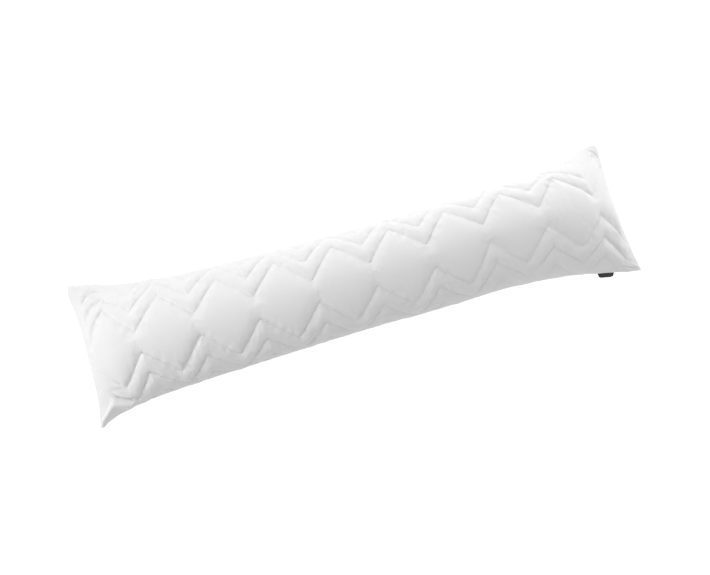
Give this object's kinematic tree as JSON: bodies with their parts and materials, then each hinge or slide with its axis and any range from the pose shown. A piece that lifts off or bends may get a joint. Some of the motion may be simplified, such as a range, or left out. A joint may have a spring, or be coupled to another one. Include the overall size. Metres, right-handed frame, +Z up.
{
  "type": "body pillow",
  "caption": "Long filled body pillow lying on its back, quilted with parallel zigzag lines that leave a row of lozenges, with a folded side label.",
  "frame": {"origin": "under the middle of the pillow's box, on the surface it rests on", "axes": "+X along the pillow towards the end with the label, +Y across it away from the label, +Z up out of its face"},
  "size_m": [1.3998, 0.3812, 0.219],
  "materials": {
    "white_microfibre": "matt brushed microfibre",
    "black_ribbon": "woven ribbon"
  },
  "bodies": {
    "root": {"pillow": "white_microfibre", "side_label": "black_ribbon"}
  },
  "joints": []
}
